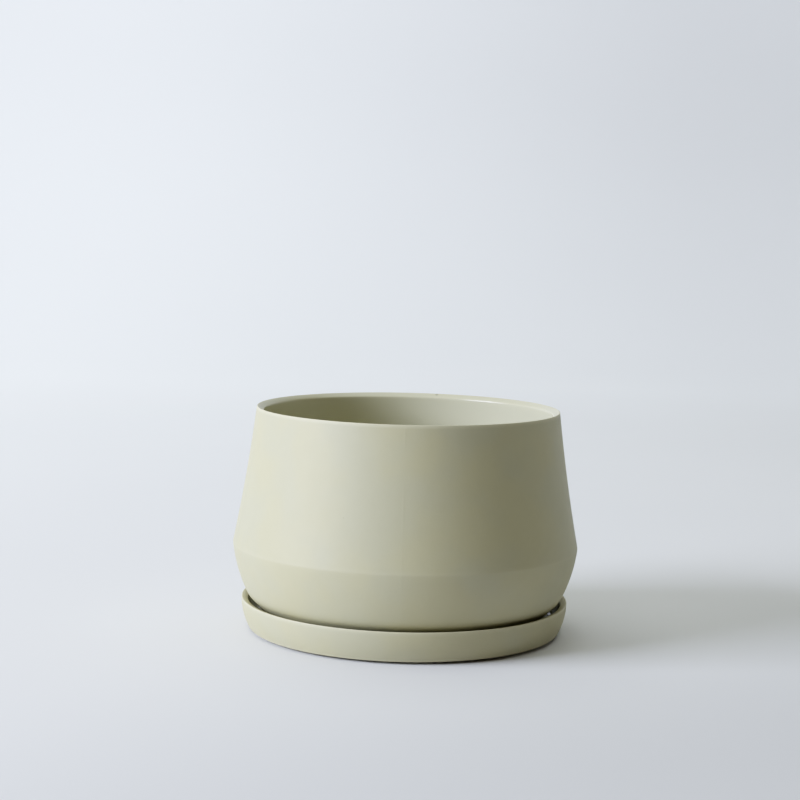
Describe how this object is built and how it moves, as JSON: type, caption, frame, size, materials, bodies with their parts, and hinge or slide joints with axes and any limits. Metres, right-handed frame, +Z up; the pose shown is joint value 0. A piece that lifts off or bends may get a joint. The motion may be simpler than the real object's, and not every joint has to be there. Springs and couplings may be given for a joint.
{
  "type": "bonsai pot",
  "caption": "Round tapered ceramic planter with a creased shoulder, bevelled rim and drain hole, standing in a shallow matching saucer.",
  "frame": {"origin": "on the table under the middle of the pot, level with the undersides of the saucer's pads", "axes": "+Z up along the pot's axis; -Y is the side that faces the viewer"},
  "size_m": [0.2003, 0.2004, 0.1295],
  "materials": {
    "sage_glaze": "satin sage glaze outside, glossy inside",
    "mesh_plastic": "moulded black mesh",
    "clip_wire": "drawn wire",
    "clear_pad": "clear silicone"
  },
  "bodies": {
    "saucer_body": {"saucer": "sage_glaze", "saucer_pad_1": "clear_pad", "saucer_pad_2": "clear_pad", "saucer_pad_3": "clear_pad", "saucer_pad_4": "clear_pad"},
    "pot_body": {"pot": "sage_glaze", "drain_screen": "mesh_plastic", "screen_clip": "clip_wire"}
  },
  "joints": [
    {"name": "pot_lift", "type": "slide", "parent": "saucer_body", "child": "pot_body", "axis": [0, 0, 1], "range_m": [0, 0.06]}
  ]
}
